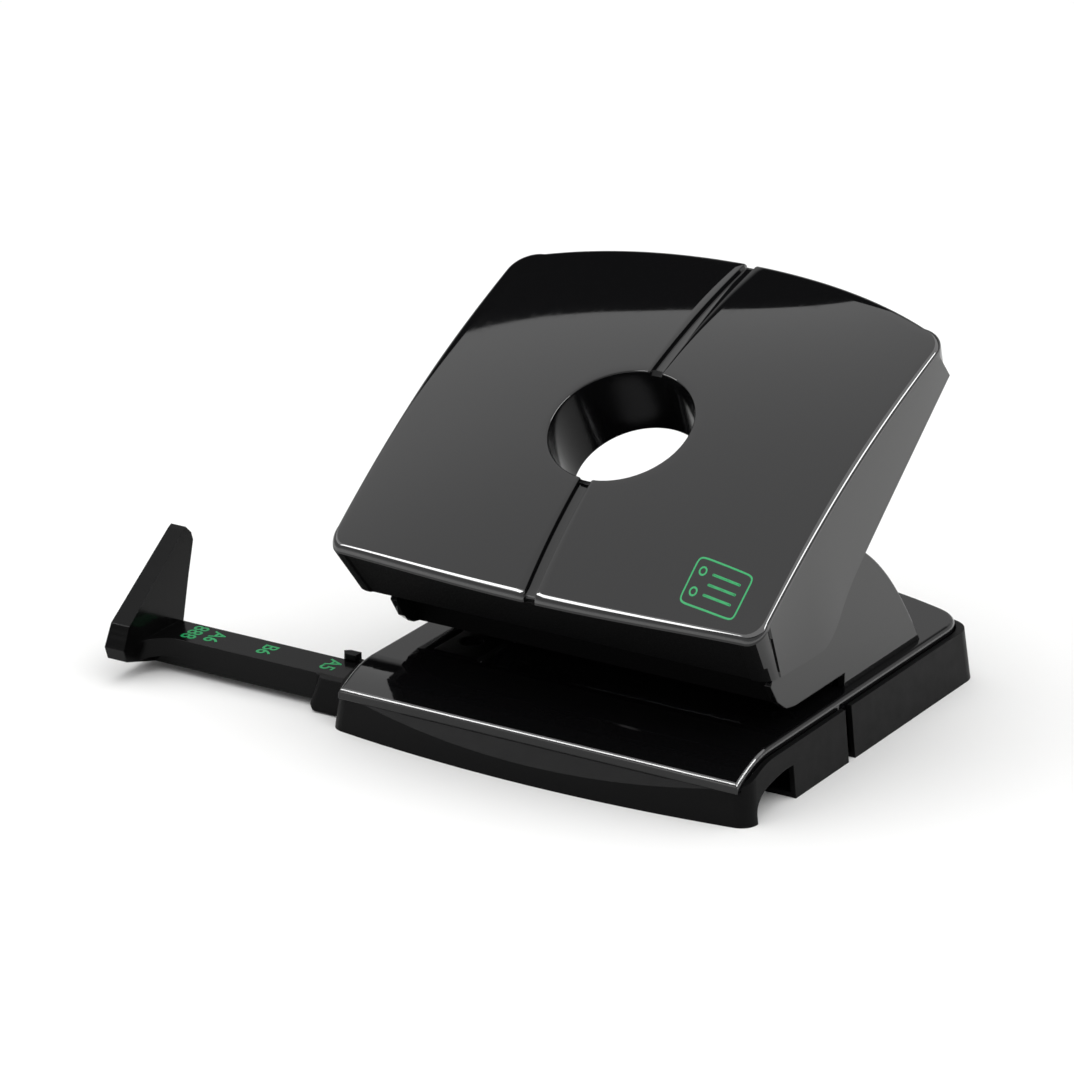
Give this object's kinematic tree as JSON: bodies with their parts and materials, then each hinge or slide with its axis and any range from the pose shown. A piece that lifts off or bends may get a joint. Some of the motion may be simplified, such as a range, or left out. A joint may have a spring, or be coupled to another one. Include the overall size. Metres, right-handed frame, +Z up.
{
  "type": "hole punch",
  "caption": "Desk paper punch with a broad curved lever with a round hole, a paper slot over a glossy table, a sliding paper guide bar with an upright stop, and a chip tray that opens below.",
  "frame": {"origin": "on the desk, midway between the two punch pins", "axes": "+X across the paper, to the user's right; +Y away from the user, to the back; +Z up"},
  "size_m": [0.1648, 0.1158, 0.0906],
  "materials": {
    "gloss_black": "high gloss moulded plastic",
    "table_black": "gloss enamel on pressed steel",
    "tray_black": "fine spark-eroded texture",
    "bar_black": "satin moulded plastic",
    "plain_steel": "zinc plated sheet",
    "black_steel": "black phosphate on sheet steel",
    "bright_steel": "ground and polished",
    "spring_steel": "drawn wire"
  },
  "bodies": {
    "base": {"base_plate": "table_black", "front_tray": "tray_black", "die_strip": "plain_steel", "bracket_left": "black_steel", "bracket_right": "black_steel", "bracket_rivets": "black_steel", "housing_cover": "gloss_black", "housing_screws": "bright_steel", "pivot_axle": "bright_steel", "axle_clips": "spring_steel", "guide_rail": "tray_black", "return_spring_left": "spring_steel", "return_spring_right": "spring_steel"},
    "lever": {"lever_cover": "gloss_black", "lever_yoke": "plain_steel", "lever_screws": "bright_steel"},
    "pin_left": {"punch_pin_left": "bright_steel", "spring_cap_left": "plain_steel"},
    "pin_right": {"punch_pin_right": "bright_steel", "spring_cap_right": "plain_steel"},
    "guide_bar": {"guide_bar": "bar_black"},
    "chip_tray": {"chip_tray": "tray_black"}
  },
  "joints": [
    {"name": "lever_pivot", "type": "hinge", "parent": "base", "child": "lever", "pos_m": [0, 0.02, 0.032], "axis": [1, 0, 0], "range_deg": [0, 16], "stiffness_Nm_per_rad": 1.2, "springref_deg": -11.46},
    {"name": "pin_left_slide", "type": "slide", "parent": "base", "child": "pin_left", "axis": [0, 0, -1], "range_m": [0, 0.0055], "deforming": ["return_spring_left"]},
    {"name": "pin_right_slide", "type": "slide", "parent": "base", "child": "pin_right", "axis": [0, 0, -1], "range_m": [0, 0.0055], "deforming": ["return_spring_right"]},
    {"name": "guide_bar_slide", "type": "slide", "parent": "base", "child": "guide_bar", "axis": [-1, 0, 0], "range_m": [-0.0365, 0.0435]},
    {"name": "chip_tray_hinge", "type": "hinge", "parent": "base", "child": "chip_tray", "pos_m": [0, 0.0069, 0.00045], "axis": [-1, 0, 0], "range_deg": [0, 50]}
  ],
  "couplings": [
    {"joint": "pin_left_slide", "follows": "lever_pivot", "m_per_rad": 0.01969},
    {"joint": "pin_right_slide", "follows": "lever_pivot", "m_per_rad": 0.01969}
  ]
}
